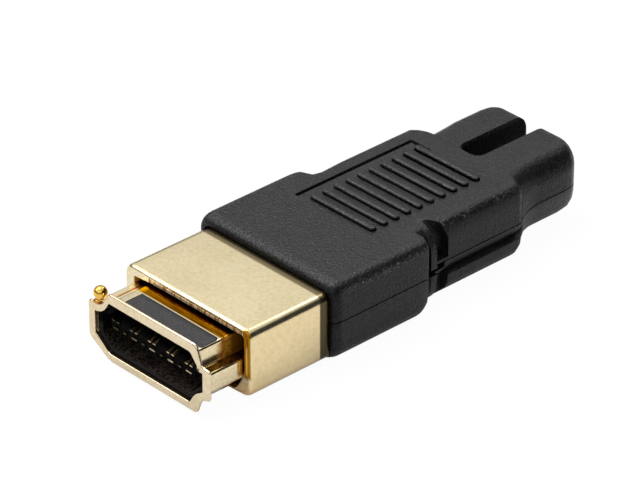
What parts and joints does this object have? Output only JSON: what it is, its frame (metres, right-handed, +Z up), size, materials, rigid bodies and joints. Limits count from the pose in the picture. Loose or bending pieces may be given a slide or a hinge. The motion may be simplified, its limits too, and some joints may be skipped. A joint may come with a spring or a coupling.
{
  "type": "cable-end video socket",
  "caption": "Cable-end video socket: gilt receptacle and sleeve held in a black moulded two-part body with a ribbed grip and a slotted rear end.",
  "frame": {"origin": "under the middle of the part, on the plane that it rests on", "axes": "+Y from the mouth towards the slotted rear end, +Z up through the ribbed face, +X to the right seen from the mouth"},
  "size_m": [0.0178, 0.049, 0.0085],
  "materials": {
    "body_black": "fine grained moulded surface",
    "gilt": "pale satin gilt plating",
    "insulator_black": "plain moulded",
    "board": "plain laminate"
  },
  "bodies": {
    "root": {"body_upper": "body_black", "body_lower": "body_black", "shield_sleeve": "gilt", "socket_shell": "gilt", "insulator": "insulator_black", "contact_spacer": "insulator_black", "solder_board": "board", "ball_stud": "gilt", "contact_upper_01": "gilt", "contact_upper_02": "gilt", "contact_upper_03": "gilt", "contact_upper_04": "gilt", "contact_upper_05": "gilt", "contact_upper_06": "gilt", "contact_upper_07": "gilt", "contact_upper_08": "gilt", "contact_upper_09": "gilt", "contact_upper_10": "gilt", "contact_lower_01": "gilt", "contact_lower_02": "gilt", "contact_lower_03": "gilt", "contact_lower_04": "gilt", "contact_lower_05": "gilt", "contact_lower_06": "gilt", "contact_lower_07": "gilt", "contact_lower_08": "gilt", "contact_lower_09": "gilt"}
  },
  "joints": []
}
